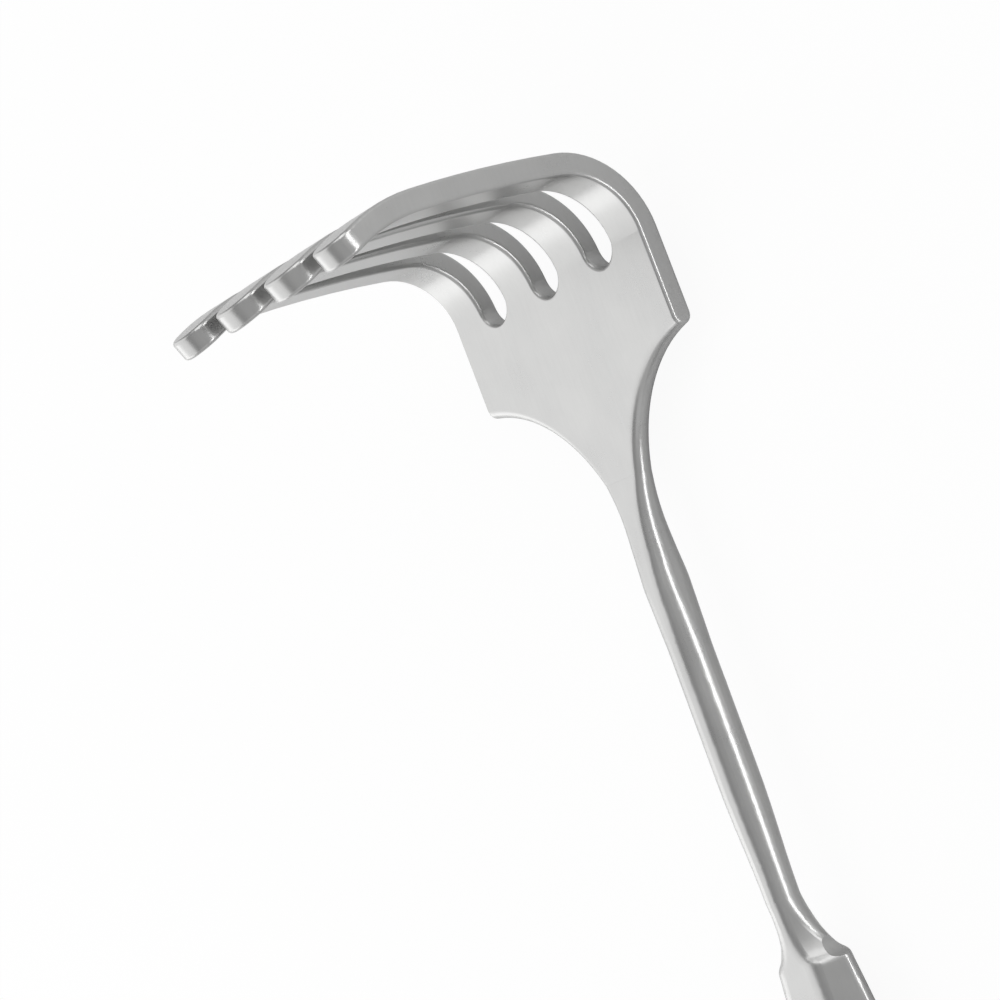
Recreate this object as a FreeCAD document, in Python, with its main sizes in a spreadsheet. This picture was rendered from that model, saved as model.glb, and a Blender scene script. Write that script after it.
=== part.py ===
import FreeCAD, Part
import math
import os
import Sketcher

# Four-prong rake retractor, millimetres. It lies on its back with the prongs up: X across the rake,
# +Y along the instrument towards the prongs, +Z from its back to its front.
# The pieces are drawn from the rake's shoulders (Y = 0) and from the back face of its plate (Z = 0).
# The whole instrument is then moved so that its origin is the middle of the surface that it lies on.

doc = FreeCAD.newDocument("rake_retractor")
V = FreeCAD.Vector

# Driving sizes
sizes = doc.addObject("Spreadsheet::Sheet", "Sizes")
size_rows = [
    ("head_width", 50.3, "rake across its shoulders"),
    ("plate_thickness", 3.5, "stock of the plate and prongs"),
    ("plate_height", 14.95, "shoulders to the start of the main bend"),
    ("bend_radius", 14.1, "main bend, measured on the back surface"),
    ("bend_angle", 86.0, "main bend"),
    ("reach_radius", 218.0, "slight curve of the prongs past the bend"),
    ("reach_angle", 7.0, "turn of that slight curve"),
    ("tip_radius", 31.0, "bend at the prong tips, on the back surface"),
    ("tip_angle", 22.0, "bend at the prong tips"),
    ("tip_length", 4.6, "straight end of a prong"),
    ("nose_bluntness", 1.07, "radius of a prong's round end, as a share of half its width"),
    ("nose_corner", 0.43, "rounded corners of that end, as a share of the prong's width"),
    ("prong_count", 4, "prongs in the rake"),
    ("slot_width", 6.8, "slot between prongs, at the plate's back"),
    ("slot_floor", 12.65, "shoulders to the bottom of a slot"),
    ("slot_taper", 1.25, "draft of a slot's walls, each side"),
    ("edge_round", 0.6, "rounded edges of the plate and prongs"),
    ("neck_round", 1.6, "rounded edges of the neck"),
    ("neck_radius", 26.3, "hollow curve from shoulder to shank"),
    ("neck_half", 3.2, "half the width of the neck at its narrowest"),
    ("neck_flat", 17.0, "shoulders to the end of the flat neck"),
    ("thick_at", 34.0, "shoulders to the shank's full thickness"),
    ("round_at", 44.0, "shoulders to the fully round shank"),
    ("shank_radius", 3.3, "round shank"),
    ("shank_rise", 2.14, "shank axis above the plate's back where the shank begins to level out"),
    ("rise_at", 27.0, "shoulders to that place"),
    ("shank_steps", 20, "sections that shape the shank"),
    ("full_round", 0.98, "rounding of a round bar's sections, as a share of its radius"),
    ("hair", 0.03, "how far joined sections lie inside one another"),
    ("taper_at", 65.0, "shoulders to where the shank starts to narrow"),
    ("waist_at", 84.0, "shoulders to the narrowest part of the shank"),
    ("waist_radius", 2.73, "narrowest part of the shank"),
    ("waist_rise", 3.05, "axis there above the plate's back"),
    ("bolster_at", 94.4, "shoulders to the corner of the bolster"),
    ("bolster_half", 8.05, "half the width at that corner"),
    ("cove_radius", 3.1, "coves ground into its sides, right above the corners"),
    ("bolster_steps", 16, "sections that shape the bolster"),
    ("widening", 2.2, "power by which the bolster grows wider"),
    ("thickening", 1.5, "power by which it grows thicker"),
    ("facet_widening", 3.4, "power by which its front flat grows wider"),
    ("grip_rise", 1.75, "handle axis above the plate's back"),
    ("grip_flat", 4.0, "half the front flat at the bolster"),
    ("grip_half", 4.15, "half the thickness at the bolster"),
    ("grip_side", 0.5, "half the side flat at the bolster"),
    ("belly_at", 45.0, "bolster corner to the widest part"),
    ("belly_half", 12.4, "half the width there"),
    ("belly_thick", 5.7, "half the thickness there"),
    ("grip_waist_at", 86.0, "bolster corner to the handle's waist"),
    ("grip_waist_half", 10.8, "half the width there"),
    ("grip_waist_thick", 5.1, "half the thickness there"),
    ("butt_at", 112.0, "bolster corner to the flare of the butt"),
    ("butt_half", 13.0, "half the width there"),
    ("butt_thick", 5.5, "half the thickness there"),
    ("grip_length", 126.3, "bolster corner to the end of the handle"),
    ("grip_steps", 14, "sections that shape the handle"),
    ("least_side", 0.1, "narrowest side flat inside the shells"),
    ("crease_round", 4.0, "rounded edges beside the front flat"),
    ("side_round", 1.0, "rounded edges beside the side flat"),
    ("seam_at", 8.0, "bolster corner to the mouth of the shells"),
    ("shell_wall", 1.0, "pressed shells of the handle"),
    ("spigot_length", 10.0, "bolster's spigot inside the shells"),
    ("spigot_gap", 0.12, "room for brazing metal round the spigot"),
    ("ring_at", 2.5, "mouth of the shells to the brazing ring"),
    ("ring_width", 1.2, "brazing ring along the handle"),
    ("ring_depth", 0.6, "groove for the ring"),
]
for row, (alias, value, note) in enumerate(size_rows, start=1):
    sizes.set("A%d" % row, alias)
    sizes.set("B%d" % row, str(value))
    sizes.set("C%d" % row, note)
    sizes.setAlias("B%d" % row, alias)
doc.recompute()


def size(alias):
    return float(sizes.get(alias))


def origin_plane(body, role):
    for feature in body.Origin.OriginFeatures:
        if feature.Role == role:
            return feature


def add_sketch(body, name, role):
    sketch = body.newObject("Sketcher::SketchObject", name)
    sketch.AttachmentSupport = [(origin_plane(body, role), "")]
    sketch.MapMode = "FlatFace"
    return sketch


# Side view of the rake: the back line runs up the plate, round the main bend and out to the tips.
# The prongs are left a little long here, because their round ends are cut later.
spare = size("plate_thickness")


def side_path(offset):
    """Corner points, arc middles and heading of the rake's side view, offset in from its back line."""
    y, z, heading = -size("neck_flat"), 0.0, 0.0
    pieces = []
    runs = [("line", size("neck_flat") + size("plate_height"), 0.0)]
    for radius, angle in (("bend_radius", "bend_angle"), ("reach_radius", "reach_angle"),
                          ("tip_radius", "tip_angle")):
        runs.append(("arc", size(radius), math.radians(size(angle))))
    runs.append(("line", size("tip_length") + spare, 0.0))
    for kind, length, turn in runs:
        normal = V(0, -math.sin(heading), math.cos(heading))
        start = V(0, y, z) + normal * offset
        if kind == "line":
            end = start + V(0, math.cos(heading), math.sin(heading)) * length
            pieces.append((start, None, end))
        else:
            centre = V(0, y, z) + normal * length
            radius = length - offset

            def on_arc(angle):
                return centre + V(0, math.sin(angle), -math.cos(angle)) * radius

            pieces.append((start, on_arc(heading + turn / 2), on_arc(heading + turn)))
            heading += turn
            end = pieces[-1][2]
        base = end - V(0, -math.sin(heading), math.cos(heading)) * offset
        y, z = base.y, base.z
    return pieces, heading, V(0, y, z)


back_line, tip_heading, blank_end = side_path(0.0)
tip_end = blank_end - V(0, math.cos(tip_heading), math.sin(tip_heading)) * spare
front_line, _, _ = side_path(size("plate_thickness"))
head_top = max(point.y for piece in back_line for point in piece if point is not None)

# Rake blank: the side view padded across the rake, then cut to its outline and slotted
blank = doc.addObject("PartDesign::Body", "rake_blank")
side_view = add_sketch(blank, "side_view", "YZ_Plane")
outline = list(back_line) + [(back_line[-1][2], None, front_line[-1][2])]
outline += [(end, middle, start) for start, middle, end in reversed(front_line)]
outline += [(front_line[0][0], None, back_line[0][0])]
for start, middle, end in outline:
    flat = [V(point.y, point.z, 0) for point in (start, middle, end) if point is not None]
    side_view.addGeometry(Part.LineSegment(*flat) if middle is None else Part.Arc(*flat), False)
blank_pad = blank.newObject("PartDesign::Pad", "blank_pad")
blank_pad.Profile = side_view
blank_pad.Midplane = True
blank_pad.setExpression("Length", "Sizes.head_width * 1.2")

reach = 3 * size("head_width")
neck_centre_x = size("neck_half") + size("neck_radius")
neck_drop = math.sqrt(size("neck_radius") ** 2 - (neck_centre_x - size("head_width") / 2) ** 2)


def neck_width(y):
    """Half the width of the neck between the shoulders and its narrowest place."""
    along = min(max(y + neck_drop, 0.0), neck_drop)
    return neck_centre_x - math.sqrt(size("neck_radius") ** 2 - along ** 2)


def add_loop(sketch, segments):
    for points in segments:
        flat = [V(x, y, 0) for x, y in points]
        sketch.addGeometry(Part.LineSegment(*flat) if len(flat) == 2 else Part.Arc(*flat), False)


# Both sides and the hollow curves of the neck are cut away in one pocket
sides = add_sketch(blank, "sides_and_neck", "XY_Plane")
for side in (-1, 1):
    shoulder = (side * size("head_width") / 2, 0.0)
    mid_y = -size("neck_flat") / 2
    neck_end = (side * neck_width(-size("neck_flat")), -size("neck_flat"))
    below = (neck_end[0], neck_end[1] - size("plate_thickness"))
    add_loop(sides, [
        [(shoulder[0], reach), shoulder],
        [shoulder, (side * neck_width(mid_y), mid_y), neck_end],
        [neck_end, below],
        [below, (side * reach, below[1])],
        [(side * reach, below[1]), (side * reach, reach)],
        [(side * reach, reach), (shoulder[0], reach)],
    ])
side_cut = blank.newObject("PartDesign::Pocket", "side_cut")
side_cut.Profile = sides
side_cut.Reversed = True
side_cut.setExpression("Length", "Sizes.head_width * 2")

# Slots with full-radius bottoms part the prongs, which are equally wide at the plate's back. Their walls lean in a little towards the front,
# so each slot is a wedge with a cone at its floor.
slot_lean = math.tan(math.radians(size("slot_taper")))
slot_half = size("slot_width") / 2
prong_count = int(size("prong_count"))
slot_count = prong_count - 1
prong_width = (size("head_width") - slot_count * size("slot_width")) / prong_count
slot_pitch = prong_width + size("slot_width")
slot_middles = [(i - (slot_count - 1) / 2) * slot_pitch for i in range(slot_count)]
start_depth = -size("plate_thickness")
floor_depth = size("plate_thickness") * 2
slot_depth = size("head_width") * 1.5
for number, middle in enumerate(slot_middles, start=1):
    slot_place = V(middle, size("slot_floor") + slot_half, 0)
    slot_floor = blank.newObject("PartDesign::SubtractiveCone", "slot_floor_%d" % number)
    slot_floor.AttachmentSupport = [(origin_plane(blank, "XY_Plane"), "")]
    slot_floor.MapMode = "FlatFace"
    slot_floor.AttachmentOffset = FreeCAD.Placement(slot_place + V(0, 0, start_depth), FreeCAD.Rotation())
    slot_floor.Height = floor_depth - start_depth
    slot_floor.Radius1 = slot_half - slot_lean * start_depth
    slot_floor.Radius2 = slot_half - slot_lean * floor_depth
    slot_walls = blank.newObject("PartDesign::SubtractiveWedge", "slot_walls_%d" % number)
    slot_walls.AttachmentSupport = [(origin_plane(blank, "XY_Plane"), "")]
    slot_walls.MapMode = "FlatFace"
    slot_walls.AttachmentOffset = FreeCAD.Placement(slot_place, FreeCAD.Rotation(V(1, 0, 0), 90))
    slot_walls.Ymin, slot_walls.Ymax = start_depth, slot_depth
    slot_walls.Xmax = slot_half - slot_lean * start_depth
    slot_walls.X2max = slot_half - slot_lean * slot_depth
    slot_walls.Xmin, slot_walls.X2min = -slot_walls.Xmax, -slot_walls.X2max
    slot_walls.Zmin, slot_walls.Zmax = -reach, 0
    slot_walls.Z2min, slot_walls.Z2max = -reach, 0

# Blunt ends: each prong is cut to a round nose, square to the metal of its tip
ends = add_sketch(blank, "prong_ends", "XY_Plane")
tip_turn = FreeCAD.Rotation(V(1, 0, 0), math.degrees(tip_heading))
ends.AttachmentOffset = FreeCAD.Placement(tip_end, tip_turn)
slot_half_tip = slot_half - slot_lean * tip_end.z
edges_at_tip = [-size("head_width") / 2]
for middle in slot_middles:
    edges_at_tip += [middle - slot_half_tip, middle + slot_half_tip]
edges_at_tip.append(size("head_width") / 2)
noses = []
for left, right in zip(edges_at_tip[0::2], edges_at_tip[1::2]):
    noses.append(((left + right) / 2, (right - left) / 2 * size("nose_bluntness")))
last = (-reach, -noses[0][1])
for middle, radius in noses:
    foot = (middle - radius, -radius)
    add_loop(ends, [[last, foot], [foot, (middle, 0.0), (middle + radius, -radius)]])
    last = (middle + radius, -radius)
far = size("head_width") / 2
add_loop(ends, [
    [last, (reach, last[1])],
    [(reach, last[1]), (reach, far)],
    [(reach, far), (-reach, far)],
    [(-reach, far), (-reach, -noses[0][1])],
])
end_cut = blank.newObject("PartDesign::Pocket", "end_cut")
end_cut.Profile = ends
end_cut.Midplane = True
end_cut.setExpression("Length", "Sizes.plate_thickness * 6")
doc.recompute()


def is_sharp(shape, edge, least=15.0):
    """True where two faces of the shape meet at more than the least angle, in degrees."""
    faces = shape.ancestorsOfType(edge, Part.Face)
    if len(faces) != 2:
        return False
    middle = edge.valueAt((edge.FirstParameter + edge.LastParameter) / 2)
    normals = [face.normalAt(*face.Surface.parameter(middle)) for face in faces]
    return math.degrees(normals[0].getAngle(normals[1])) > least


def edge_names(shape, wanted):
    return ["Edge%d" % (i + 1) for i, edge in enumerate(shape.Edges) if wanted(shape, edge)]


def runs_along(shape, edge, direction):
    """True for a sharp edge that lies along the direction, from end to end."""
    ends = [vertex.Point for vertex in edge.Vertexes]
    chord = (ends[-1] - ends[0]).normalize()
    return abs(chord.dot(direction)) > 0.98 and is_sharp(shape, edge)


def is_neck_edge(shape, edge):
    """True for the curved edges between the shoulders and the end of the flat neck."""
    box = edge.BoundBox
    return box.ZLength < size("hair") and box.YLength > abs(box.YMin) / 2 and box.YMax < size("hair")


def is_nose_corner(shape, edge):
    across_tip = V(0, -math.sin(tip_heading), math.cos(tip_heading))
    return edge.CenterOfMass.z > size("bend_radius") and runs_along(shape, edge, across_tip)


# Every edge is rounded, except those of the section where the neck goes on as the shank
def is_rim(shape, edge):
    return edge.BoundBox.YMax > size("hair") - size("neck_flat") and is_sharp(shape, edge)


def add_fillet(name, base, wanted, radius):
    fillet = blank.newObject("PartDesign::Fillet", name)
    fillet.Base = (base, edge_names(base.Shape, wanted))
    fillet.Radius = radius
    doc.recompute()
    return fillet


neck_rounding = add_fillet("neck_rounding", end_cut, is_neck_edge, size("neck_round"))
noses_round = add_fillet("nose_corners", neck_rounding, is_nose_corner, prong_width * size("nose_corner"))
blank.Tip = add_fillet("edge_rounding", noses_round, is_rim, size("edge_round"))
doc.recompute()


# Sections across the instrument, each in the plane at its own distance down from the shoulders
def rounded_section(y, corners, radii):
    """Closed wire round the corners (x, z), each rounded to its radius as far as its sides allow."""
    corner_count = len(corners)
    points = [V(x, y, z) for x, z in corners]
    arcs = []
    for i, wanted in enumerate(radii):
        before, corner, after = points[i - 1], points[i], points[(i + 1) % corner_count]
        room = min(before.distanceToPoint(corner), after.distanceToPoint(corner)) / 2
        to_before, to_after = (before - corner).normalize(), (after - corner).normalize()
        half_angle = to_before.getAngle(to_after) / 2
        setback = min(wanted / math.tan(half_angle), room * size("full_round"))
        radius = setback * math.tan(half_angle)
        inward = (to_before + to_after).normalize()
        centre = corner + inward * (radius / math.sin(half_angle))
        arcs.append((corner + to_before * setback, centre - inward * radius, corner + to_after * setback))
    edges = []
    for i, (first, middle, final) in enumerate(arcs):
        edges.append(Part.Arc(first, middle, final).toShape())
        following = arcs[(i + 1) % corner_count][0]
        edges.append(Part.LineSegment(final, following).toShape())
    return Part.Wire(edges)


def between(first, last, share):
    return first + (last - first) * share


def eased(share):
    """A share that sets off and arrives gently."""
    return (1 - math.cos(min(max(share, 0.0), 1.0) * math.pi)) / 2


def octagon(half_width, half_height, flat, side):
    """Corners (x, z) of an eight-sided section round its own axis."""
    x, z = half_width, half_height
    return [(x, -side), (x, side), (flat, z), (-flat, z), (-x, side), (-x, -side), (-flat, -z), (flat, -z)]


def lifted(corners, rise):
    return [(x, z + rise) for x, z in corners]


# Half a side of a regular octagon, as a share of half its width
half_side = math.tan(math.pi / 8)


def bar_section(down, half_width, half_height, rise, corner):
    """Section of a bar with rounded corners, which is round once its corners are at their largest."""
    trim = corner * (1 - half_side)
    corners = octagon(half_width, half_height, half_width - trim, half_height - trim)
    return rounded_section(-down, lifted(corners, rise), [corner * size("full_round")] * len(corners))


# Shank: it leaves the flat neck as a rounded bar, becomes round, and narrows just above the bolster.
# Its first sections lie a hair inside the neck, so that neck and shank join without a step.
plate_half = size("plate_thickness") / 2
shank_steps = int(size("shank_steps"))
shank_step = (size("waist_at") - size("neck_flat")) / shank_steps
shank_sections = []
for step in range(-1, shank_steps + 1):
    down = size("neck_flat") + step * shank_step
    swell = min(max((down - size("neck_flat")) / (size("thick_at") - size("neck_flat")), 0.0), 1.0)
    turned = min(max((down - size("neck_flat")) / (size("round_at") - size("neck_flat")), 0.0), 1.0)
    taper = eased((down - size("taper_at")) / (size("waist_at") - size("taper_at")))
    radius = between(size("shank_radius"), size("waist_radius"), taper)
    half_width = neck_width(-down) + (radius - size("neck_half")) * swell
    half_height = between(plate_half, radius, swell)
    corner = between(size("neck_round"), radius, turned)
    if down < size("rise_at"):
        lift = (down - size("neck_flat")) / (size("rise_at") - size("neck_flat"))
        rise = between(plate_half, size("shank_rise"), max(lift, 0.0))
    else:
        lift = (down - size("rise_at")) / (size("waist_at") - size("rise_at"))
        rise = between(size("shank_rise"), size("waist_rise"), lift)
    hair = size("hair") if step <= 0 else 0.0
    shank_sections.append(bar_section(down, half_width - hair, half_height - hair, rise, corner))
shank = Part.makeLoft(shank_sections, True, False)


# Handle: a flattened octagon whose width and thickness change along it
def inset_octagon(half_width, half_height, flat, side, inset):
    """The corners of the section that lies inside an octagon by the inset, measured from its faces."""
    across, along = half_height - side, half_width - flat
    slope = math.hypot(across, along)
    nx, nz = across / slope, along / slope
    reach_out = nx * flat + nz * half_height - inset
    x, z = half_width - inset, half_height - inset
    flat, side = (reach_out - nz * z) / nx, (reach_out - nx * x) / nz
    if side < size("least_side"):
        side = size("least_side")
        x = (reach_out - nz * side) / nx
    return octagon(x, z, flat, side)


corner_radii = [size(name) for name in ("side_round", "side_round", "crease_round", "crease_round") * 2]
flat_share = size("grip_flat") / size("bolster_half")
side_share = size("grip_side") / size("grip_half")
grip_stations = [
    (0.0, size("bolster_half"), size("grip_half")),
    (size("belly_at"), size("belly_half"), size("belly_thick")),
    (size("grip_waist_at"), size("grip_waist_half"), size("grip_waist_thick")),
    (size("butt_at"), size("butt_half"), size("butt_thick")),
]


def grip_size(down):
    """Half the handle's width and thickness at a distance below the bolster's corner."""
    for first, last in zip(grip_stations, grip_stations[1:]):
        if down <= last[0]:
            share = (down - first[0]) / (last[0] - first[0])
            share = math.sin(share * math.pi / 2) if first is grip_stations[0] else eased(share)
            return between(first[1], last[1], share), between(first[2], last[2], share)
    return grip_stations[-1][1:]


def grip_form(inset):
    """The handle's outer form, or the form that lies inside it by the inset."""
    sections = []
    whole_length = size("grip_length") + size("shell_wall")
    for step in range(int(size("grip_steps")) + 1):
        down = whole_length * step / size("grip_steps")
        half_width, half_height = grip_size(down)
        y = -size("bolster_at") - down
        corners = inset_octagon(half_width, half_height, half_width * flat_share,
                                half_height * side_share, inset)
        corners = lifted(corners, size("grip_rise"))
        if inset:
            sections.append(Part.makePolygon([V(x, y, z) for x, z in corners + corners[:1]]))
        else:
            sections.append(rounded_section(y, corners, corner_radii))
    form = Part.makeLoft(sections, True, False)
    end = -size("bolster_at") - size("grip_length")
    # The butt is rounded from both sides, in plan and in side view
    for radius, direction, start in ((size("butt_half"), V(0, 0, 1), V(0, 0, -reach)),
                                     (size("butt_thick"), V(1, 0, 0), V(-reach, 0, 0))):
        centre = V(0, end + radius, size("grip_rise"))
        lift = V(0, centre.y, centre.z) if direction.x else V(0, centre.y, 0)
        rounded = Part.makeCylinder(radius - inset, 2 * reach, start + lift, direction)
        rest = Part.makeBox(2 * reach, 2 * reach, 2 * reach, V(-reach, centre.y, -reach))
        form = form.common(rounded.fuse(rest))
    return form


def slab(y_low, y_high, z_low=-reach, z_high=reach):
    """A block across the whole instrument between two distances along it."""
    return Part.makeBox(2 * reach, y_high - y_low, z_high - z_low, V(-reach, y_low, z_low))


# Bolster: the round shank swells into the eight-sided handle, and its facets run out on the way.
# It goes down to the seam with the shells.
seam_down = size("bolster_at") + size("seam_at")
bolster_step = (seam_down - size("waist_at")) / size("bolster_steps")
round_radius = size("waist_radius") * size("full_round")
round_flat = size("waist_radius") * half_side
bolster_sections = []
for step in range(int(size("bolster_steps")) + 1):
    down = size("waist_at") + step * bolster_step
    share = min((down - size("waist_at")) / (size("bolster_at") - size("waist_at")), 1.0)
    half_width, half_height = grip_size(max(down - size("bolster_at"), 0.0))
    half_width = between(size("waist_radius"), half_width, share ** size("widening"))
    half_height = between(size("waist_radius"), half_height, share ** size("thickening"))
    flat = between(round_flat, half_width * flat_share, share ** size("facet_widening"))
    side = between(round_flat, half_height * side_share, share)
    rise = between(size("waist_rise"), size("grip_rise"), share)
    radii = [between(round_radius, radius, share) for radius in corner_radii]
    corners = lifted(octagon(half_width, half_height, flat, side), rise)
    bolster_sections.append(rounded_section(-down, corners, radii))
bolster = Part.makeLoft(bolster_sections, True, False)

# Coves are ground into both sides of it, which leaves its sharp corners
for side in (-1, 1):
    cove_centre = V(side * size("bolster_half"), size("cove_radius") - size("bolster_at"), -reach)
    bolster = bolster.cut(Part.makeCylinder(size("cove_radius"), 2 * reach, cove_centre))

# Spigot inside the shells, with the groove for the brazing ring
seam = -seam_down
grip = grip_form(0.0)
spigot_end = seam - size("spigot_length")
spigot_form = grip_form(size("shell_wall") + size("spigot_gap"))
spigot = spigot_form.common(slab(spigot_end, seam + size("shell_wall")))
ring_high = seam - size("ring_at")
ring_low = ring_high - size("ring_width")
ring_inside = grip_form(size("shell_wall") + size("spigot_gap") + size("ring_depth"))
spigot = spigot.cut(slab(ring_low, ring_high).cut(ring_inside))

shank_part = doc.addObject("Part::Feature", "shank")
shank_part.Shape = shank
bolster_part = doc.addObject("Part::Feature", "bolster")
bolster_part.Shape = bolster.fuse(spigot)
rake = doc.addObject("Part::MultiFuse", "rake")
rake.Shapes = [blank, shank_part, bolster_part]

# Brazing ring: it fills the groove of the spigot and joins it to the shells
ring = doc.addObject("Part::Feature", "braze_ring")
ring.Shape = grip_form(size("shell_wall")).cut(ring_inside).common(slab(ring_low, ring_high))

# Handle shells: two pressings that meet face to face along the sides and round the butt
hollow = grip.cut(grip_form(size("shell_wall"))).common(slab(-reach - size("bolster_at"), seam))
front_shell = doc.addObject("Part::Feature", "handle_front_shell")
front_shell.Shape = hollow.common(slab(-2 * reach, reach, size("grip_rise"), reach))
rear_shell = doc.addObject("Part::Feature", "handle_rear_shell")
rear_shell.Shape = hollow.common(slab(-2 * reach, reach, -reach, size("grip_rise")))

# The origin is the middle of the surface that the instrument lies on, under its bounding box
low_end = -size("bolster_at") - size("grip_length")
lowest = size("grip_rise") - max(size("belly_thick"), size("butt_thick"), size("grip_waist_thick"))
to_origin = FreeCAD.Placement(V(0, -(head_top + low_end) / 2, -lowest), FreeCAD.Rotation())
pieces = [rake, ring, front_shell, rear_shell]
for piece in pieces:
    piece.Placement = to_origin
doc.recompute()

for item in doc.Objects:
    if "Invalid" in item.State or "Error" in item.State:
        raise RuntimeError(item.Name + " did not recompute")
os.makedirs("parts", exist_ok=True)
for piece in pieces:
    if piece.Shape.isNull() or not piece.Shape.isValid():
        raise RuntimeError(piece.Label + " is not a valid solid")
    box = piece.Shape.optimalBoundingBox()
    print(piece.Label, len(piece.Shape.Solids), "solid,", round(piece.Shape.Volume), "mm3, from",
          [round(c, 2) for c in (box.XMin, box.YMin, box.ZMin)], "to",
          [round(c, 2) for c in (box.XMax, box.YMax, box.ZMax)])
    piece.Shape.exportStep("parts/%s.step" % piece.Label)
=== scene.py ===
import math
import bpy
from mathutils import Matrix, Vector

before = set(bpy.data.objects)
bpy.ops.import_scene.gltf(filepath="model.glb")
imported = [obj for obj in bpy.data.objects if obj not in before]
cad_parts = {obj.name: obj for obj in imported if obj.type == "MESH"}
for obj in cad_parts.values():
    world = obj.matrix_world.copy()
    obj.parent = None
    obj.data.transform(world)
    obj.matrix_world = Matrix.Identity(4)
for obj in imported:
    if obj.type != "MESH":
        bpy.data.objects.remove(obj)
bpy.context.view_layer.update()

# The rake: plate, four bent prongs, neck, shank and bolster, forged in one piece of hardened
# stainless steel, belt-ground and then blasted to a satin that keeps light off the surgeon's
# eyes. The blasting leaves a very fine even grain with faint traces of the belt.
MM = 0.001


def add_node(material, kind, **inputs):
    """A shader node whose sockets are set by name, with spaces written as underscores."""
    node = material.node_tree.nodes.new(kind)
    for name, value in inputs.items():
        node.inputs[name.replace("_", " ")].default_value = value
    return node


def join(material, output, node, socket):
    material.node_tree.links.new(output, node.inputs[socket])


def blasted_steel(name, bright, dull, belt_direction, gloss):
    """Satin stainless steel, with the belt's traces along belt_direction, an axis of the part."""
    steel = bpy.data.materials.new(name)
    steel.use_nodes = True
    shader = steel.node_tree.nodes["Principled BSDF"]
    shader.inputs["Metallic"].default_value = 1.0
    place = add_node(steel, "ShaderNodeTexCoord").outputs["Object"]

    # cloudy differences in how hard the surface was blasted, some millimetres across
    clouds_per_mm = 0.11
    clouds = add_node(steel, "ShaderNodeTexNoise", Scale=clouds_per_mm / MM, Detail=4.0,
                      Roughness=0.55)
    join(steel, place, clouds, "Vector")
    tone = add_node(steel, "ShaderNodeValToRGB")
    tone.color_ramp.elements[0].position = 0.3
    tone.color_ramp.elements[0].color = (*dull, 1.0)
    tone.color_ramp.elements[1].position = 0.7
    tone.color_ramp.elements[1].color = (*bright, 1.0)
    join(steel, clouds.outputs["Fac"], tone, "Fac")

    # belt traces: noise drawn out along the belt
    traces_per_mm = 2.4
    squeeze = 0.06
    trace_strength = 0.14
    stretch = add_node(steel, "ShaderNodeMapping")
    stretch.inputs["Scale"].default_value = [squeeze if belt_direction == axis else 1.0
                                             for axis in "XYZ"]
    join(steel, place, stretch, "Vector")
    traces = add_node(steel, "ShaderNodeTexNoise", Scale=traces_per_mm / MM, Detail=3.0,
                      Roughness=0.6)
    join(steel, stretch.outputs["Vector"], traces, "Vector")
    traced = add_node(steel, "ShaderNodeMixRGB")
    traced.blend_type = "MULTIPLY"
    traced.inputs["Fac"].default_value = trace_strength
    trace_tone = add_node(steel, "ShaderNodeValToRGB")
    trace_tone.color_ramp.elements[0].position = 0.3
    trace_tone.color_ramp.elements[0].color = (0.82, 0.82, 0.82, 1.0)
    trace_tone.color_ramp.elements[1].position = 0.62
    join(steel, traces.outputs["Fac"], trace_tone, "Fac")
    join(steel, tone.outputs["Color"], traced, "Color1")
    join(steel, trace_tone.outputs["Color"], traced, "Color2")
    join(steel, traced.outputs["Color"], shader, "Base Color")

    # the grain of the blasting, a fifth of a millimetre, both in gloss and in relief
    grains_per_mm = 5.0
    relief_height = 0.02 * MM
    grain = add_node(steel, "ShaderNodeTexNoise", Scale=grains_per_mm / MM, Detail=2.0,
                     Roughness=0.5)
    join(steel, place, grain, "Vector")
    rough = add_node(steel, "ShaderNodeMapRange", From_Min=0.3, From_Max=0.7,
                     To_Min=gloss - 0.025, To_Max=gloss + 0.03)
    mixed = add_node(steel, "ShaderNodeMath")
    mixed.operation = "ADD"
    halves = add_node(steel, "ShaderNodeMath")
    halves.operation = "MULTIPLY"
    halves.inputs[1].default_value = 0.5
    join(steel, clouds.outputs["Fac"], mixed, 0)
    join(steel, grain.outputs["Fac"], mixed, 1)
    join(steel, mixed.outputs["Value"], halves, 0)
    join(steel, halves.outputs["Value"], rough, "Value")
    join(steel, rough.outputs["Result"], shader, "Roughness")
    relief = add_node(steel, "ShaderNodeBump", Strength=0.05, Distance=relief_height)
    trace_relief = add_node(steel, "ShaderNodeBump", Strength=0.04, Distance=relief_height)
    join(steel, grain.outputs["Fac"], relief, "Height")
    join(steel, traces.outputs["Fac"], trace_relief, "Height")
    join(steel, relief.outputs["Normal"], trace_relief, "Normal")
    join(steel, trace_relief.outputs["Normal"], shader, "Normal")
    return steel


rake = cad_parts["rake"]
rake.material_slots[0].material = blasted_steel(
    "rake_satin_steel", bright=(0.48, 0.48, 0.475), dull=(0.45, 0.45, 0.447),
    belt_direction="Y", gloss=0.29)

# The handle: two half shells pressed from stainless sheet, welded edge to edge and ground
# flush. They are blasted like the rake, and the belt's traces run along the handle.
shell_steel = blasted_steel(
    "shell_satin_steel", bright=(0.47, 0.47, 0.465), dull=(0.44, 0.44, 0.437),
    belt_direction="Y", gloss=0.31)
for shell in ("handle_front_shell", "handle_rear_shell"):
    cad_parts[shell].material_slots[0].material = shell_steel

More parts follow.
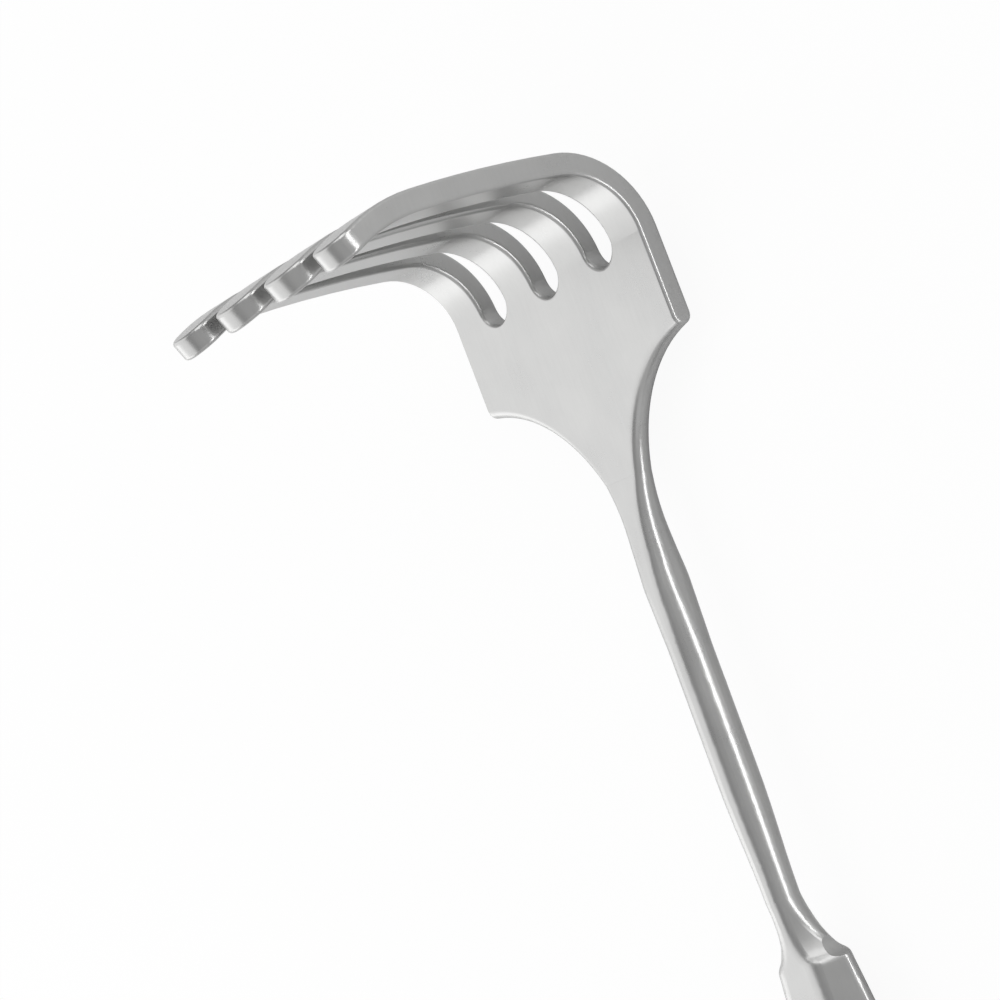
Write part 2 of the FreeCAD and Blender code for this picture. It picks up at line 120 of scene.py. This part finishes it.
# The brazing ring: silver brazing metal in the groove of the spigot, inside the mouth of the
# shells. It is dull and slightly yellow, with the frosted skin that flux leaves.
braze = bpy.data.materials.new("brazing_metal")
braze.use_nodes = True
braze_shader = braze.node_tree.nodes["Principled BSDF"]
braze_shader.inputs["Metallic"].default_value = 1.0
braze_place = add_node(braze, "ShaderNodeTexCoord").outputs["Object"]
frost_per_mm = 1.8
frost_height = 0.05 * MM
frost = add_node(braze, "ShaderNodeTexNoise", Scale=frost_per_mm / MM, Detail=5.0, Roughness=0.65)
join(braze, braze_place, frost, "Vector")
frost_tone = add_node(braze, "ShaderNodeValToRGB")
frost_tone.color_ramp.elements[0].position = 0.35
frost_tone.color_ramp.elements[0].color = (0.62, 0.56, 0.42, 1.0)
frost_tone.color_ramp.elements[1].position = 0.65
frost_tone.color_ramp.elements[1].color = (0.76, 0.72, 0.6, 1.0)
join(braze, frost.outputs["Fac"], frost_tone, "Fac")
join(braze, frost_tone.outputs["Color"], braze_shader, "Base Color")
frost_rough = add_node(braze, "ShaderNodeMapRange", From_Min=0.3, From_Max=0.7,
                       To_Min=0.35, To_Max=0.6)
join(braze, frost.outputs["Fac"], frost_rough, "Value")
join(braze, frost_rough.outputs["Result"], braze_shader, "Roughness")
frost_relief = add_node(braze, "ShaderNodeBump", Strength=0.3, Distance=frost_height)
join(braze, frost.outputs["Fac"], frost_relief, "Height")
join(braze, frost_relief.outputs["Normal"], braze_shader, "Normal")
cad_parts["braze_ring"].material_slots[0].material = braze

# The table: a smooth paper-covered board that the instrument lies on. It shows nearly white to
# the camera. The steel sees it as the lamps light it, darker where the instrument shades it.
table_reach = 2.0
camera_white = 0.94
steel_white = 0.05
table_mesh = bpy.data.meshes.new("table")
table_mesh.from_pydata(
    [(-table_reach, -table_reach, 0), (table_reach, -table_reach, 0),
     (table_reach, table_reach, 0), (-table_reach, table_reach, 0)], [], [(0, 1, 2, 3)])
table = bpy.data.objects.new("table", table_mesh)
bpy.context.scene.collection.objects.link(table)
board = bpy.data.materials.new("white_board")
board.use_nodes = True
board_nodes = board.node_tree.nodes
board_shader = board_nodes["Principled BSDF"]
board_shader.inputs["Roughness"].default_value = 0.2
board_shader.inputs["Specular IOR Level"].default_value = 0.5
fibres_per_mm = 0.9
fibres = add_node(board, "ShaderNodeTexNoise", Scale=fibres_per_mm / MM, Detail=4.0, Roughness=0.6)
join(board, add_node(board, "ShaderNodeTexCoord").outputs["Object"], fibres, "Vector")
paper = add_node(board, "ShaderNodeValToRGB")
paper.color_ramp.elements[0].color = (0.79, 0.79, 0.79, 1.0)
paper.color_ramp.elements[1].color = (0.82, 0.82, 0.82, 1.0)
join(board, fibres.outputs["Fac"], paper, "Fac")
join(board, paper.outputs["Color"], board_shader, "Base Color")
white = add_node(board, "ShaderNodeEmission", Color=(1.0, 1.0, 1.0, 1.0), Strength=1.0)
rays = add_node(board, "ShaderNodeLightPath")
to_camera = add_node(board, "ShaderNodeMath")
to_camera.operation = "MULTIPLY"
to_camera.inputs[1].default_value = camera_white
join(board, rays.outputs["Is Camera Ray"], to_camera, 0)
to_steel = add_node(board, "ShaderNodeMath")
to_steel.operation = "MULTIPLY"
to_steel.inputs[1].default_value = steel_white
join(board, rays.outputs["Is Glossy Ray"], to_steel, 0)
share = add_node(board, "ShaderNodeMath")
share.operation = "MAXIMUM"
join(board, to_camera.outputs["Value"], share, 0)
join(board, to_steel.outputs["Value"], share, 1)
shown = add_node(board, "ShaderNodeMixShader")
join(board, share.outputs["Value"], shown, 0)
join(board, board_shader.outputs["BSDF"], shown, 1)
join(board, white.outputs["Emission"], shown, 2)
join(board, shown.outputs["Shader"], board_nodes["Material Output"], "Surface")
table.data.materials.append(board)

# The room: mid grey walls to the left and right, and a darker ceiling above that draws the
# dark lines beside the flats.
world = bpy.data.worlds.new("studio")
bpy.context.scene.world = world
world.use_nodes = True
room_place = add_node(world, "ShaderNodeTexCoord").outputs["Generated"]
room_axes = add_node(world, "ShaderNodeSeparateXYZ")
join(world, room_place, room_axes, "Vector")
across = add_node(world, "ShaderNodeMapRange", From_Min=-1.0, From_Max=1.0)
join(world, room_axes.outputs["X"], across, "Value")
room_tone = add_node(world, "ShaderNodeValToRGB")
# each pair is a place from the left wall (0) over the ceiling to the right wall (1), and its grey
room_greys = ((0.0, 0.5), (0.38, 0.36), (0.52, 0.38), (0.72, 0.6), (1.0, 0.56))
for ramp_place, _ in room_greys[1:-1]:
    room_tone.color_ramp.elements.new(ramp_place)
for element, (ramp_place, grey) in zip(room_tone.color_ramp.elements, room_greys):
    element.position = ramp_place
    element.color = (grey, grey, grey, 1.0)
join(world, across.outputs["Result"], room_tone, "Fac")
background = world.node_tree.nodes["Background"]
join(world, room_tone.outputs["Color"], background, "Color")
background.inputs["Strength"].default_value = 1.0


# The lamps: a wide softbox leans over from the left, and the plate and the front flats show it.
# A low one beside it brightens the prongs' bend, and a strip on the right draws the line along
# the shank. One behind the prongs lights the table, and a weak one lights the neck's edges.
def softbox(name, place, aim, width, height, level):
    """A rectangular lamp whose surface has the brightness level, where 1 is white."""
    lamp = bpy.data.lights.new(name, "AREA")
    lamp.shape = "RECTANGLE"
    lamp.size = width
    lamp.size_y = height
    lamp.energy = level * math.pi * width * height
    stand = bpy.data.objects.new(name, lamp)
    stand.location = place
    stand.rotation_euler = (Vector(aim) - Vector(place)).to_track_quat("-Z", "Y").to_euler()
    bpy.context.scene.collection.objects.link(stand)


softbox("left_softbox", place=(-0.725, -0.1, 0.6), aim=(-0.04, -0.1, 0.01),
        width=1.8, height=1.45, level=0.98)
softbox("low_softbox", place=(-0.8, -0.44, 0.27), aim=(0, 0.1, 0.02),
        width=1.1, height=0.46, level=0.6)
softbox("right_strip", place=(0.6, 0.05, 0.035), aim=(0, 0.05, 0.01),
        width=1.1, height=0.07, level=5.5)
softbox("far_softbox", place=(0.45, 0.85, 0.6), aim=(0.04, 0.08, 0),
        width=1.2, height=0.8, level=1.3)
softbox("near_softbox", place=(0.1, -0.85, 0.45), aim=(0, 0.1, 0),
        width=1.0, height=0.8, level=0.3)

# The camera stands where the photograph was taken from, as fitted to the rake's edges, its
# equal prongs and its round shank. It is rolled, so that the instrument lies aslant.
photo_camera = bpy.data.cameras.new("photo_camera")
photo_camera.sensor_width = 36.0
photo_camera.lens = 124.1  # millimetres, on that sensor
photo_camera.clip_start = 0.01
viewer = bpy.data.objects.new("photo_camera", photo_camera)
turn, tilt, roll = math.radians(53.461), math.radians(-3.489), math.radians(-20.84)
towards_viewer = Vector((math.sin(turn) * math.cos(tilt), math.sin(tilt),
                         math.cos(turn) * math.cos(tilt)))
level_right = Vector((math.cos(turn), 0, -math.sin(turn)))
level_up = towards_viewer.cross(level_right)
picture_right = level_right * math.cos(roll) + level_up * math.sin(roll)
picture_up = level_up * math.cos(roll) - level_right * math.sin(roll)
stand_point = Vector((404.706, 50.747, 329.658)) * MM
viewer.matrix_world = Matrix((
    (picture_right.x, picture_up.x, towards_viewer.x, stand_point.x),
    (picture_right.y, picture_up.y, towards_viewer.y, stand_point.y),
    (picture_right.z, picture_up.z, towards_viewer.z, stand_point.z),
    (0, 0, 0, 1)))
bpy.context.scene.collection.objects.link(viewer)
bpy.context.scene.camera = viewer
bpy.context.scene.view_settings.view_transform = "Standard"
